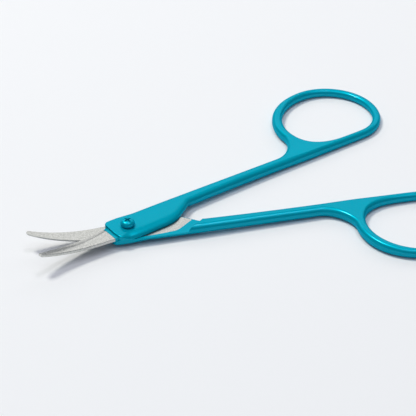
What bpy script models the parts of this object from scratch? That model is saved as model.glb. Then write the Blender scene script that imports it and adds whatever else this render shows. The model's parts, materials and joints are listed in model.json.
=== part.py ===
"""Curved nail scissors: two crossed halves with finger rings, turning on one pivot screw.

The pivot axis is the Z axis, and the end of the pivot screw is at Z = 0. It stands proud of the lower
joint plate, so the scissors rest on it and on their two rings. +X runs from the pivot towards the
finger rings, midway between the two handles. The upper half's handle is at +Y and the lower half's
at -Y. A half is drawn closed, in a plan of its own: the pivot at the origin, the handle along +X and
its outer side at +Y. The lower half is the same plan mirrored, and each half is then turned about
the pivot by half the opening. Heights in a plan are measured from the parting plane, where the two
halves meet.
"""
import math

import bmesh
import bpy
from mathutils import Matrix, Vector

# Driving dimensions in metres, angles in degrees
OPENING = 22.2              # whole angle between the handles as the scissors lie
HANDLE_HEIGHT = 0.00255     # thickness of shank and ring web, twice a joint plate and the parting gap
EDGE_ROUND = 0.0009         # radius along the edges of the handle
PARTING_GAP = 0.0003        # between the two joint plates, and between the two blades
CLOSED_GAP = 0.0003         # between the two rings when the scissors are shut
PIVOT_TO_UPPER_TIP = 0.0245
PIVOT_TO_LOWER_TIP = 0.0239
PIVOT_TO_RING_END = 0.0814

# Joint plate, measured from the pivot axis
PLATE_FRONT = 0.0043
PLATE_OUTER = 0.00405
PLATE_INNER = 0.0045
PLATE_WIDEST = 0.0078       # along the plate, where its inner side lies furthest out
FRONT_CORNER = 0.0012
THROAT_LENGTH = 0.0027      # the inner front corner, along the plate
THROAT_DEPTH = 0.00375      # closing line to the inner side behind that corner
THROAT_ANGLE = 16.0
SHOULDER_START = 0.0129
SHOULDER_DEPTH = 0.0030     # closing line to the inner side where the shoulder starts
SHOULDER_END = 0.0168
SHOULDER_ANGLE = 33.0
CROWN = 1.0                 # degrees by which the straight sides bow
STEP_OUTER = 0.0140         # where the full thickness starts, along the outer side
STEP_INNER = 0.0180         # and along the inner side
STEP_ROUND = 0.0008

# Shank and finger ring
SHANK_STANDOFF = 0.00045    # from the closing line to the inner side of the shank
SHANK_START = 0.0205
SHANK_WAIST = 0.0458
SHANK_WAIST_WIDTH = 0.0030
RING_HOLE_LENGTH = 0.02385
RING_HOLE_WIDTH = 0.0209
ROD_AT_WEB = 0.0025
ROD_AT_SIDES = 0.00205
ROD_AT_END = 0.0020

# Blade
BLADE_ROOT_CUT = 0.0028     # closing line to cutting edge at the root
BLADE_ROOT_SPINE = 0.0026   # closing line to spine at the root
BLADE_TIP_WIDTH = 0.0012
BLADE_ROOT_THICKNESS = 0.0006
BLADE_TIP_THICKNESS = 0.00052
BLADE_EDGE_LAND = 0.00036
BLADE_SPINE_ROUND = 0.00030
BLADE_BEND_RADIUS = 0.0465
BLADE_STRAIGHT = 0.0086     # distance from the pivot where the bend starts
BLADE_SEAT = 0.0008         # how far the root reaches into the joint plate

# Pivot screw
HEAD_DIAMETER = 0.0032
HEAD_HEIGHT = 0.00145
HEAD_RIM = 0.0003
NECK_DIAMETER = 0.0020
THREAD_DIAMETER = 0.0017
END_STANDOUT = 0.0009       # from the lower joint plate's underside to the end of the screw
END_CHAMFER = 0.0002
SCREW_CLEARANCE = 0.0003
RECESS_WIDTH = 0.0018
RECESS_SLOT = 0.00042
RECESS_DEPTH = 0.00075

OVERRUN = 0.0010            # how far every cut runs past the surface it opens
WELD_DISTANCE = 0.000001

# Reach of a curve's handles, as shares of the chord between two spots
STRAIGHT_SHARE = 1 / 3
TIGHT_SHARE = 0.37
ROUND_SHARE = 0.39
FULL_SHARE = 0.44
BROAD_SHARE = 0.55
# Shares of the finger hole's length and width
HOLE_FLAT_SHARES = (0.415, 0.65)
HOLE_CROWN_SHARE = 0.545
HOLE_NEAR_SHARE = 0.405
HOLE_FAR_SHARE = 0.4625
# Shares of the blade's length and of its taper in width, from the root to the tip
CUT_EDGE_SHARES = ((0.0, 1.0), (0.30, 0.68), (0.71, 0.62), (1.0, 0.0))
SPINE_SHARES = ((0.0, 1.0), (0.30, 0.50), (0.61, 0.14), (1.0, 0.0))
GRIND_SHARES = (0.18, 0.60)    # width of the ground bevel in the blade's, at the root and from midway
HOLLOW_SHARE = 0.40         # height of the hollow ground bevel at its middle
LIP_SHARE = 0.94            # depth of the step's round below the surface, in its radius
TIP_INSET_SHARE = 0.25      # how far the tip's faces draw in, in its thickness
RECESS_FOOT_SHARES = (0.45, 0.40, 1.0)

CURVE_STEPS = 9
ROUND_STEPS = 2
STEP_ARC_STEPS = 6
BLADE_STEPS = 22
TIP_STEPS = 6
SCREW_STEPS = 32
DOME_STEPS = 7
SHARP_ANGLE = 30.0

half_height = HANDLE_HEIGHT / 2
parting_height = END_STANDOUT + half_height
face_height = PARTING_GAP / 2
ring_inner = CLOSED_GAP / 2
hole_far = PIVOT_TO_RING_END - ROD_AT_END
hole_near = hole_far - RING_HOLE_LENGTH
hole_low = ring_inner + ROD_AT_SIDES
hole_high = hole_low + RING_HOLE_WIDTH


def clear_scene():
    for obj in list(bpy.data.objects):
        bpy.data.objects.remove(obj)


def make_collection(name):
    collection = bpy.data.collections.new(name)
    bpy.context.scene.collection.children.link(collection)
    return collection


def make_material(name, colour, metallic, roughness):
    material = bpy.data.materials.new(name)
    material.use_nodes = True
    shader = material.node_tree.nodes["Principled BSDF"]
    shader.inputs["Base Color"].default_value = (*colour, 1.0)
    shader.inputs["Metallic"].default_value = metallic
    shader.inputs["Roughness"].default_value = roughness
    material.diffuse_color = (*colour, 1.0)
    return material


def enamel(name):
    return make_material(name, (0.0, 0.33, 0.43), 0.0, 0.22)


def steel(name):
    return make_material(name, (0.60, 0.59, 0.57), 1.0, 0.38)


# Helpers for outlines and meshes
def add_object(name, data, collection):
    obj = bpy.data.objects.new(name, data)
    collection.objects.link(obj)
    return obj


def as_tool(obj):
    """Cutters and joined pieces only shape other objects, so they stay out of the part."""
    obj.hide_render = True
    obj.display_type = "WIRE"
    return obj


def curve_to_mesh(obj, collection):
    """Replace a curve object by a closed mesh object of the same name and place."""
    bpy.context.view_layer.update()
    evaluated = obj.evaluated_get(bpy.context.evaluated_depsgraph_get())
    mesh = bpy.data.meshes.new_from_object(evaluated)
    name = obj.name
    place = obj.matrix_world.copy()
    curve = obj.data
    bpy.data.objects.remove(obj)
    bpy.data.curves.remove(curve)
    bm = bmesh.new()
    bm.from_mesh(mesh)
    bmesh.ops.remove_doubles(bm, verts=bm.verts, dist=WELD_DISTANCE)
    bmesh.ops.recalc_face_normals(bm, faces=bm.faces)
    bm.to_mesh(mesh)
    bm.free()
    solid = add_object(name, mesh, collection)
    solid.matrix_world = place
    return solid


def heading_vector(degrees):
    angle = math.radians(degrees)
    return Vector((math.cos(angle), math.sin(angle)))


def add_loop(curve, spots, side):
    """Add a closed spline. A spot is a place, the heading of the line there, and the reach of its two
    handles as shares of the chords to the spots before and after it."""
    spline = curve.splines.new("BEZIER")
    spline.bezier_points.add(len(spots) - 1)
    spline.use_cyclic_u = True
    places = [Vector(spot[0]) for spot in spots]
    for index, here in enumerate(places):
        heading, back_share, on_share = spots[index][1:]
        way = heading_vector(heading)
        back = here - way * (here - places[index - 1]).length * back_share
        on = here + way * (places[(index + 1) % len(places)] - here).length * on_share
        point = spline.bezier_points[index]
        point.handle_left_type = "FREE"
        point.handle_right_type = "FREE"
        point.handle_left = (back.x, back.y * side, 0.0)
        point.co = (here.x, here.y * side, 0.0)
        point.handle_right = (on.x, on.y * side, 0.0)


def ring_hole_spots():
    """The finger hole: flat along the inner side, egg shaped beyond it."""
    flat_start, flat_end = (hole_near + RING_HOLE_LENGTH * share for share in HOLE_FLAT_SHARES)
    crown = hole_near + RING_HOLE_LENGTH * HOLE_CROWN_SHARE
    far_height = hole_low + RING_HOLE_WIDTH * HOLE_FAR_SHARE
    near_height = hole_low + RING_HOLE_WIDTH * HOLE_NEAR_SHARE
    return [
        ((flat_start, hole_low), -CROWN, BROAD_SHARE, STRAIGHT_SHARE),
        ((flat_end, hole_low), CROWN, STRAIGHT_SHARE, TIGHT_SHARE),
        ((hole_far, far_height), 90, FULL_SHARE, ROUND_SHARE),
        ((crown, hole_high), 180, TIGHT_SHARE, FULL_SHARE),
        ((hole_near, near_height), 270, STRAIGHT_SHARE, ROUND_SHARE),
    ]


def outline_spots():
    """Once round a half, along its inner side to the ring and back along its outer side."""
    flat_start, flat_end, far, crown, near = (Vector(spot[0]) for spot in ring_hole_spots())
    waist_outer = SHANK_STANDOFF + SHANK_WAIST_WIDTH
    shoulder_foot = Vector((SHOULDER_START, -SHOULDER_DEPTH))
    shoulder = heading_vector(SHOULDER_ANGLE)
    shoulder_top = shoulder_foot + shoulder * (SHOULDER_END - SHOULDER_START) / shoulder.x
    return [
        ((-PLATE_FRONT, THROAT_LENGTH - THROAT_DEPTH), 270 + CROWN, STRAIGHT_SHARE, FULL_SHARE),
        ((THROAT_LENGTH - PLATE_FRONT, -THROAT_DEPTH), -THROAT_ANGLE, TIGHT_SHARE, STRAIGHT_SHARE),
        ((PLATE_WIDEST, -PLATE_INNER), CROWN, ROUND_SHARE, FULL_SHARE),
        (shoulder_foot, SHOULDER_ANGLE - CROWN, STRAIGHT_SHARE, STRAIGHT_SHARE),
        (shoulder_top, SHOULDER_ANGLE + CROWN, STRAIGHT_SHARE, TIGHT_SHARE),
        ((SHANK_START, SHANK_STANDOFF), CROWN, FULL_SHARE, STRAIGHT_SHARE),
        ((SHANK_WAIST, SHANK_STANDOFF), -CROWN, STRAIGHT_SHARE, STRAIGHT_SHARE),
        ((flat_start.x, ring_inner), -CROWN, STRAIGHT_SHARE, STRAIGHT_SHARE),
        ((flat_end.x, ring_inner), CROWN, STRAIGHT_SHARE, TIGHT_SHARE),
        ((PIVOT_TO_RING_END, far.y), 90, FULL_SHARE, ROUND_SHARE),
        ((crown.x, hole_high + ROD_AT_SIDES), 180, TIGHT_SHARE, FULL_SHARE),
        ((hole_near - ROD_AT_WEB, near.y), 270, TIGHT_SHARE, STRAIGHT_SHARE),
        ((SHANK_WAIST, waist_outer), 180 - CROWN, STRAIGHT_SHARE, STRAIGHT_SHARE),
        ((STEP_OUTER, PLATE_OUTER), 180 - CROWN, STRAIGHT_SHARE, STRAIGHT_SHARE),
        ((FRONT_CORNER - PLATE_FRONT, PLATE_OUTER), 180 + CROWN, STRAIGHT_SHARE, ROUND_SHARE),
        ((-PLATE_FRONT, PLATE_OUTER - FRONT_CORNER), 270 - CROWN, ROUND_SHARE, STRAIGHT_SHARE),
    ]


def thin_ring(obj):
    """Thin the rod of the ring towards its far end, about its middle height."""
    thinning = 1 - ROD_AT_END / HANDLE_HEIGHT
    for vertex in obj.data.vertices:
        share = (vertex.co.x - hole_near) / (PIVOT_TO_RING_END - hole_near)
        share = min(max(share, 0.0), 1.0)
        vertex.co.z *= 1 - thinning * (1 - (1 - share) ** 2)


def handle_body(name, side, collection):
    """Joint plate, shank and ring as one plate of full thickness with rounded edges."""
    curve = bpy.data.curves.new(name, "CURVE")
    curve.dimensions = "2D"
    curve.fill_mode = "BOTH"
    curve.resolution_u = CURVE_STEPS
    curve.extrude = half_height - EDGE_ROUND
    curve.bevel_depth = EDGE_ROUND
    curve.bevel_resolution = ROUND_STEPS
    curve.offset = -EDGE_ROUND
    add_loop(curve, outline_spots(), side)
    add_loop(curve, ring_hole_spots(), side)
    body = curve_to_mesh(add_object(name, curve, collection), collection)
    thin_ring(body)
    return body


def relief_cutter(name, side, collection):
    """What is milled off so that the two joint plates lap: everything ahead of the slanted step,
    beyond the parting face. The top edge of the step is rounded over."""
    low = -half_height - OVERRUN
    reach = STEP_INNER + PLATE_FRONT + PLATE_INNER
    arc_height = -half_height + STEP_ROUND * LIP_SHARE
    profile = [(-reach, face_height), (0.0, face_height)]
    for step in range(STEP_ARC_STEPS + 1):
        angle = math.pi * (1 + step / STEP_ARC_STEPS / 2)
        profile.append((STEP_ROUND + STEP_ROUND * math.cos(angle), arc_height + STEP_ROUND * math.sin(angle)))
    profile += [(STEP_ROUND, low), (-reach, low)]
    curve = bpy.data.curves.new(name, "CURVE")
    curve.dimensions = "2D"
    curve.fill_mode = "BOTH"
    curve.extrude = reach
    spline = curve.splines.new("POLY")
    spline.points.add(len(profile) - 1)
    spline.use_cyclic_u = True
    for point, (across, height) in zip(spline.points, profile):
        point.co = (across, height, 0.0, 1.0)
    cutter = curve_to_mesh(add_object(name, curve, collection), collection)
    start = Vector((STEP_OUTER, PLATE_OUTER * side, 0.0))
    end = Vector((STEP_INNER, SHANK_STANDOFF * side, 0.0))
    along = (end - start).normalized()
    up = Vector((0.0, 0.0, side))
    across = up.cross(along)
    frame = Matrix((across, up, along)).transposed().to_4x4()
    cutter.data.transform(Matrix.Translation((start + end) / 2) @ frame)
    return as_tool(cutter)


def bezier_value(shares, t):
    """A place on the cubic curve that four pairs of shares draw."""
    weights = ((1 - t) ** 3, 3 * t * (1 - t) ** 2, 3 * t ** 2 * (1 - t), t ** 3)
    return tuple(sum(w * pair[axis] for w, pair in zip(weights, shares)) for axis in (0, 1))


def blade_lift(distance):
    """Height of the bent parting surface between the blades. It follows the distance from the pivot,
    so the two blades keep their gap at every angle."""
    reach = max(distance - BLADE_STRAIGHT, 0.0)
    return reach ** 2 / BLADE_BEND_RADIUS / 2


def blade_section(t, tip_share, tip, side):
    """The blade's seven corners at one station. tip_share falls from 1 to 0 round the tip."""
    root = PLATE_FRONT - BLADE_SEAT
    length = tip - root
    cut_along, cut_taper = bezier_value(CUT_EDGE_SHARES, t)
    spine_along, spine_taper = bezier_value(SPINE_SHARES, t)
    cut = BLADE_ROOT_CUT * cut_taper
    spine = -BLADE_TIP_WIDTH - (BLADE_ROOT_SPINE - BLADE_TIP_WIDTH) * spine_taper
    middle = (cut + spine) / 2
    width = (cut - spine) * tip_share
    spine, cut = middle - width / 2, middle + width / 2
    thickness = BLADE_ROOT_THICKNESS + (BLADE_TIP_THICKNESS - BLADE_ROOT_THICKNESS) * t
    inset = thickness * (1 - tip_share) * TIP_INSET_SHARE
    top = thickness - inset
    land = inset + BLADE_EDGE_LAND * tip_share
    root_share, tip_side_share = GRIND_SHARES
    grind = width * (root_share + (tip_side_share - root_share) * min(2 * t, 1))
    edge = BLADE_SPINE_ROUND * tip_share
    corners = [
        (spine, inset),
        (cut, inset),
        (cut, land),
        (cut - grind / 2, land + (top - land) * HOLLOW_SHARE),
        (cut - grind, top),
        (spine + edge, top),
        (spine, top - edge),
    ]
    points = []
    for across, depth in corners:
        share = (across - spine) / width
        along = -(root + length * (spine_along + (cut_along - spine_along) * share))
        height = blade_lift(math.hypot(along, across)) + side * (face_height + depth)
        points.append((along, across * side, height))
    return points


def blade(name, tip, side, collection):
    """A loft from the root in the joint plate to the rounded tip."""
    tip_start = 1 - BLADE_TIP_WIDTH / 2 / tip
    stations = [(tip_start * step / BLADE_STEPS, 1.0) for step in range(BLADE_STEPS + 1)]
    for step in range(1, TIP_STEPS):
        angle = math.pi / 2 * step / TIP_STEPS
        stations.append((tip_start + (1 - tip_start) * math.sin(angle), math.cos(angle)))
    bm = bmesh.new()
    rings = []
    for t, tip_share in stations:
        rings.append([bm.verts.new(corner) for corner in blade_section(t, tip_share, tip, side)])
    for before, after in zip(rings, rings[1:]):
        for index in range(len(before)):
            following = (index + 1) % len(before)
            bm.faces.new((before[index], before[following], after[following], after[index]))
    bm.faces.new(rings[0])
    bm.faces.new(rings[-1])
    bmesh.ops.recalc_face_normals(bm, faces=bm.faces)
    mesh = bpy.data.meshes.new(name)
    bm.to_mesh(mesh)
    bm.free()
    return as_tool(add_object(name, mesh, collection))


def bore_cutter(name, diameter, collection):
    mesh = bpy.data.meshes.new(name)
    bm = bmesh.new()
    bmesh.ops.create_cone(bm, cap_ends=True, segments=SCREW_STEPS, radius1=diameter / 2,
                          radius2=diameter / 2, depth=HANDLE_HEIGHT + 2 * OVERRUN)
    bm.to_mesh(mesh)
    bm.free()
    return as_tool(add_object(name, mesh, collection))


def add_boolean(obj, operation, tool):
    modifier = obj.modifiers.new(tool.name, "BOOLEAN")
    modifier.operation = operation
    modifier.object = tool
    modifier.solver = "EXACT"


def paint(obj, materials, is_steel):
    """Give a mesh its two materials and mark the faces that stay bare steel."""
    for material in materials:
        obj.data.materials.append(material)
    for polygon in obj.data.polygons:
        polygon.material_index = int(is_steel(polygon))


def half(name, side, tip, bore, parts, tools):
    """One half: its handle, less the relief and the bore, with the blade grown on."""
    body = handle_body(name, side, parts)
    relief = relief_cutter(name + "_relief", side, tools)
    grown_blade = blade(name + "_blade", tip, side, tools)
    hole = bore_cutter(name + "_bore", bore, tools)
    materials = (enamel(name + "_enamel"), steel(name + "_steel"))
    paint(body, materials, lambda polygon: False)
    paint(relief, materials, lambda polygon: abs(polygon.center.z - side * face_height) < WELD_DISTANCE)
    paint(grown_blade, materials, lambda polygon: True)
    paint(hole, materials, lambda polygon: True)
    add_boolean(body, "DIFFERENCE", relief)
    add_boolean(body, "UNION", grown_blade)
    add_boolean(body, "DIFFERENCE", hole)
    for obj in (body, relief, grown_blade, hole):
        obj.location = (0.0, 0.0, parting_height)
        obj.rotation_euler = (0.0, 0.0, side * math.radians(OPENING / 2))
    body.data.set_sharp_from_angle(angle=math.radians(SHARP_ANGLE))


def pivot_screw(name, parts, tools):
    """Domed head with a cross recess, plain neck in the upper half, thread in the lower half."""
    seat = parting_height + half_height + SCREW_CLEARANCE
    neck_end = parting_height + face_height
    head_radius = HEAD_DIAMETER / 2
    thread_radius = THREAD_DIAMETER / 2
    dome = HEAD_HEIGHT - HEAD_RIM
    profile = []
    for step in range(DOME_STEPS + 1):
        angle = math.pi / 2 * step / DOME_STEPS
        profile.append((head_radius * math.sin(angle), seat + HEAD_RIM + dome * math.cos(angle)))
    profile += [(head_radius, seat), (NECK_DIAMETER / 2, seat), (NECK_DIAMETER / 2, neck_end),
                (thread_radius, neck_end), (thread_radius, END_CHAMFER),
                (thread_radius - END_CHAMFER, 0.0), (0.0, 0.0)]
    mesh = bpy.data.meshes.new(name)
    edges = [(index, index + 1) for index in range(len(profile) - 1)]
    mesh.from_pydata([(across, 0.0, height) for across, height in profile], edges, [])
    mesh.materials.append(enamel(name + "_enamel"))
    screw = add_object(name, mesh, parts)
    turned = screw.modifiers.new("turned", "SCREW")
    turned.axis = "Z"
    turned.steps = SCREW_STEPS
    turned.render_steps = SCREW_STEPS
    turned.use_merge_vertices = True
    turned.merge_threshold = WELD_DISTANCE
    for index in range(2):
        turn = index * math.pi / 2 + math.radians(OPENING)
        wing = recess_wing(name + "_recess_" + str(index + 1), seat + HEAD_HEIGHT, turn, tools)
        add_boolean(screw, "DIFFERENCE", wing)


def recess_wing(name, top, turn, tools):
    """One arm of the cross recess, narrowing towards its foot."""
    mesh = bpy.data.meshes.new(name)
    bm = bmesh.new()
    bmesh.ops.create_cube(bm, size=1.0)
    bmesh.ops.scale(bm, vec=(RECESS_WIDTH, RECESS_SLOT, RECESS_DEPTH * 2), verts=bm.verts)
    foot = [vertex for vertex in bm.verts if vertex.co.z < 0]
    bmesh.ops.scale(bm, vec=RECESS_FOOT_SHARES, verts=foot)
    bm.to_mesh(mesh)
    bm.free()
    wing = as_tool(add_object(name, mesh, tools))
    wing.location = (0.0, 0.0, top)
    wing.rotation_euler = (0.0, 0.0, turn)
    return wing


def main():
    clear_scene()
    parts = make_collection("nail_scissors")
    tools = make_collection("cutters")
    half("upper_half", 1, PIVOT_TO_UPPER_TIP, NECK_DIAMETER + 2 * SCREW_CLEARANCE, parts, tools)
    half("lower_half", -1, PIVOT_TO_LOWER_TIP, THREAD_DIAMETER + 2 * SCREW_CLEARANCE, parts, tools)
    pivot_screw("pivot_screw", parts, tools)


main()
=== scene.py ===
# %% [markdown]
# # Curved nail scissors
#
# Real nail scissors of this kind are three pieces: two steel forgings that cross at a lapped
# joint, and the screw that they turn on. The handles are dipped in a glossy teal enamel and the
# blades stay bare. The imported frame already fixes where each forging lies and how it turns. This
# lesson models both forgings again at a finer grain, as an enamelled handle and a bare steel
# blade each, then finishes, lights and photographs them.

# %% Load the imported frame
import json
import math

import bmesh
import bpy
from mathutils import Matrix, Vector
from mathutils.geometry import interpolate_bezier


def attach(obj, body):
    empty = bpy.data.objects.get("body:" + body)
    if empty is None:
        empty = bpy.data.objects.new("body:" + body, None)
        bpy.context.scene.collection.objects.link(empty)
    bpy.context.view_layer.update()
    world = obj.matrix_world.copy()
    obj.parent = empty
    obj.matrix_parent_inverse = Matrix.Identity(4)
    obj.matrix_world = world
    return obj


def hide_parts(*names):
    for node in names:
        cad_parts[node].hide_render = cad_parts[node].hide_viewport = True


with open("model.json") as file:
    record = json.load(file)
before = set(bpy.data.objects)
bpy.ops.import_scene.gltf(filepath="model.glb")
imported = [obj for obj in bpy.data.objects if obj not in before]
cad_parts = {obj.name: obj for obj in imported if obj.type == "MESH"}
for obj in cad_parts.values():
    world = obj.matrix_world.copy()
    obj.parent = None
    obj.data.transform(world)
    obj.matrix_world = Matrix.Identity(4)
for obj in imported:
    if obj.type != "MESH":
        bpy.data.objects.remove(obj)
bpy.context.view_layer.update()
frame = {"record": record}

pivot = frame["record"]["behaviour"]["joints"][0]
opening = -pivot["range_deg"][0]        # degrees between the two handles at rest


# %% [markdown]
# ## The camera
#
# The photograph looks down on the scissors from one side, with a long lens, so parallel edges
# stay nearly parallel. The camera could be placed by three angles, but here it gets a point to
# look at, an azimuth, an elevation and a distance, which are easy to read and to change. A track
# quaternion then turns it and keeps its upright edge upright.

# %% Place the camera
CAMERA_AZIMUTH = math.radians(-23.37)
CAMERA_ELEVATION = math.radians(35.2)
CAMERA_DISTANCE = 0.5140
CAMERA_AIM = Vector((0.02087, 0.00058, 0.002175))
SENSOR_WIDTH = 36.0
PHOTO_WIDTH = 416
FOCAL_LENGTH_PIXELS = 2149.0

camera_data = bpy.data.cameras.new("camera")
camera_data.sensor_width = SENSOR_WIDTH
camera_data.lens = FOCAL_LENGTH_PIXELS / PHOTO_WIDTH * SENSOR_WIDTH
camera = bpy.data.objects.new("camera", camera_data)
bpy.context.scene.collection.objects.link(camera)
level = math.cos(CAMERA_ELEVATION)
view_direction = Vector((-math.sin(CAMERA_AZIMUTH) * level, math.cos(CAMERA_AZIMUTH) * level,
                         -math.sin(CAMERA_ELEVATION)))
camera.location = CAMERA_AIM - view_direction * CAMERA_DISTANCE
camera.rotation_euler = view_direction.to_track_quat("-Z", "Y").to_euler()
bpy.context.scene.camera = camera
print("lens", round(camera_data.lens, 1), "mm")

# %% [markdown]
# ## Sizes
#
# A half is drawn closed, in a plan of its own: the pivot at the origin, the handle along +X and
# the half's outer side at +Y. Every size is in metres. The two halves come from the same plan, so
# these values are written once and used for both. They could be measured off the frame's solids
# instead, but named sizes can be changed one at a time.

# %% Sizes of the joint plate
PLATE_FRONT = 0.0043        # from the pivot to the front wall
PLATE_OUTER = 0.00405       # from the closing line to the outer side
PLATE_INNER = 0.0041        # and to the inner side where it lies furthest out
PLATE_WIDEST = 0.0078       # where that is, behind the pivot
FRONT_CORNER = 0.0012       # radius of the outer front corner
THROAT_LENGTH = 0.0017      # the inner front corner, along the plate
THROAT_DEPTH = 0.00365      # closing line to the inner side behind that corner
THROAT_ANGLE = 16.0
SHOULDER_START = 0.0129     # where the inner side turns towards the shank
SHOULDER_DEPTH = 0.0028
SHOULDER_END = 0.0168
SHOULDER_ANGLE = 33.0
CROWN = 1.0                 # degrees by which the straight sides bow
STEP_OUTER = 0.0140         # where the full thickness starts, along the outer side

# %% [markdown]
# ## The shank and the ring
#
# Behind the joint plate the forging narrows to a slim shank, which opens into a ring for a
# finger. The ring could be a torus, but a real one is longer than wide and flatter towards the
# other ring, and its rod narrows to the far end. So it gets sizes of its own.

# %% Sizes of the shank and the ring
HANDLE_HEIGHT = 0.00255     # full thickness of the shank
CLOSED_GAP = 0.0003         # between the rings when the scissors are shut
SHANK_STANDOFF = 0.00045    # from the closing line to the inner side of the shank
SHANK_START = 0.0205
SHANK_WAIST = 0.0458        # where the shank is slimmest
SHANK_WAIST_WIDTH = 0.0030
PIVOT_TO_RING_END = 0.0814
RING_HOLE_LENGTH = 0.02385
RING_HOLE_WIDTH = 0.0209
ROD_AT_WEB = 0.0025         # width of the ring's rod, where it leaves the shank
ROD_AT_SIDES = 0.00205
ROD_AT_END = 0.0020

half_height = HANDLE_HEIGHT / 2
ring_inner = CLOSED_GAP / 2
hole_far = PIVOT_TO_RING_END - ROD_AT_END
hole_near = hole_far - RING_HOLE_LENGTH
hole_low = ring_inner + ROD_AT_SIDES
hole_high = hole_low + RING_HOLE_WIDTH

# %% [markdown]
# ## Drawing the outline
#
# The outline of a forging is a run of straight and round stretches. It could be traced with many
# points, but a few spots are enough and stay smooth: each gives a place, the heading of the line
# there and the reach of its two curve handles, and `interpolate_bezier` fills in the points
# between two spots.

# %% Turn spots into a closed line
LINE_STEPS = 22             # points between two spots


def heading(degrees):
    angle = math.radians(degrees)
    return Vector((math.cos(angle), math.sin(angle), 0.0))


def closed_line(spots):
    """Each spot is a place, a heading in degrees and the reach of its curve back and on."""
    points = []
    for index, (place, way, _, on) in enumerate(spots):
        next_place, next_way, next_back, _ = spots[(index + 1) % len(spots)]
        here = Vector((*place, 0.0))
        there = Vector((*next_place, 0.0))
        chord = (there - here).length
        leave = here + heading(way) * chord * on
        arrive = there - heading(next_way) * chord * next_back
        points += interpolate_bezier(here, leave, arrive, there, LINE_STEPS + 1)[:-1]
    return points


# %% [markdown]
# ## The finger hole and the outline
#
# The finger hole is a rounded D: nearly straight along the closing line, where the two rings
# meet, and full at the far end. The outline keeps the ring's rod round it, follows the shank and
# swells to the joint plate. The hole's spots come first, because the outline takes its ring from
# them.

# %% Spots of the finger hole
STRAIGHT_SHARE = 1 / 3      # reach of a curve's handle, as a share of the chord
TIGHT_SHARE = 0.37
ROUND_SHARE = 0.39
FULL_SHARE = 0.44
BROAD_SHARE = 0.55
HOLE_FLAT_SHARES = (0.415, 0.65)    # the straight stretch, as shares of the hole's length
HOLE_CROWN_SHARE = 0.545            # where the hole is widest
HOLE_NEAR_SHARE = 0.405             # height of its near end, as a share of its width
HOLE_FAR_SHARE = 0.4625             # and of its far end


def ring_hole_spots():
    flat_start, flat_end = (hole_near + RING_HOLE_LENGTH * share for share in HOLE_FLAT_SHARES)
    crown = hole_near + RING_HOLE_LENGTH * HOLE_CROWN_SHARE
    far_height = hole_low + RING_HOLE_WIDTH * HOLE_FAR_SHARE
    near_height = hole_low + RING_HOLE_WIDTH * HOLE_NEAR_SHARE
    return [
        ((flat_start, hole_low), -CROWN, BROAD_SHARE, STRAIGHT_SHARE),
        ((flat_end, hole_low), CROWN, STRAIGHT_SHARE, TIGHT_SHARE),
        ((hole_far, far_height), 90, FULL_SHARE, ROUND_SHARE),
        ((crown, hole_high), 180, TIGHT_SHARE, FULL_SHARE),
        ((hole_near, near_height), 270, STRAIGHT_SHARE, ROUND_SHARE),
    ]


hole_line = closed_line(ring_hole_spots())
print("finger hole", len(hole_line), "points")


# %% Spots of the outline
def outline_spots():
    flat_start, flat_end, far, crown, near = (Vector(spot[0]) for spot in ring_hole_spots())
    waist_outer = SHANK_STANDOFF + SHANK_WAIST_WIDTH
    shoulder = heading(SHOULDER_ANGLE).xy
    shoulder_foot = Vector((SHOULDER_START, -SHOULDER_DEPTH))
    shoulder_top = shoulder_foot + shoulder * (SHOULDER_END - SHOULDER_START) / shoulder.x
    return [
        ((-PLATE_FRONT, THROAT_LENGTH - THROAT_DEPTH), 270 + CROWN, STRAIGHT_SHARE, FULL_SHARE),
        ((THROAT_LENGTH - PLATE_FRONT, -THROAT_DEPTH), -THROAT_ANGLE, TIGHT_SHARE, STRAIGHT_SHARE),
        ((PLATE_WIDEST, -PLATE_INNER), CROWN, ROUND_SHARE, FULL_SHARE),
        (shoulder_foot, SHOULDER_ANGLE - CROWN, STRAIGHT_SHARE, STRAIGHT_SHARE),
        (shoulder_top, SHOULDER_ANGLE + CROWN, STRAIGHT_SHARE, TIGHT_SHARE),
        ((SHANK_START, SHANK_STANDOFF), CROWN, FULL_SHARE, STRAIGHT_SHARE),
        ((SHANK_WAIST, SHANK_STANDOFF), -CROWN, STRAIGHT_SHARE, STRAIGHT_SHARE),
        ((flat_start.x, ring_inner), -CROWN, STRAIGHT_SHARE, STRAIGHT_SHARE),
        ((flat_end.x, ring_inner), CROWN, STRAIGHT_SHARE, TIGHT_SHARE),
        ((PIVOT_TO_RING_END, far.y), 90, FULL_SHARE, ROUND_SHARE),
        ((crown.x, hole_high + ROD_AT_SIDES), 180, TIGHT_SHARE, FULL_SHARE),
        ((hole_near - ROD_AT_WEB, near.y), 270, TIGHT_SHARE, STRAIGHT_SHARE),
        ((SHANK_WAIST, waist_outer), 180 - CROWN, STRAIGHT_SHARE, STRAIGHT_SHARE),
        ((STEP_OUTER, PLATE_OUTER), 180 - CROWN, STRAIGHT_SHARE, STRAIGHT_SHARE),
        ((FRONT_CORNER - PLATE_FRONT, PLATE_OUTER), 180 + CROWN, STRAIGHT_SHARE, ROUND_SHARE),
        ((-PLATE_FRONT, PLATE_OUTER - FRONT_CORNER), 270 - CROWN, ROUND_SHARE, STRAIGHT_SHARE),
    ]


outline = closed_line(outline_spots())
print("outline", len(outline), "points")

# %% [markdown]
# ## Helpers for meshes
#
# Each piece starts as a bmesh and ends as an object at the origin, so its place is in its mesh.
# Cuts use the exact Boolean solver and are applied at once. They could stay live as modifiers,
# but an applied cut can be counted, measured and cut again. A weighted normal then keeps the flat
# faces flat in reflections, where a plain smooth shade would pillow them.

# %% Make an object and cut it
WELD = 0.0000005            # points closer than this are one


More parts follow.
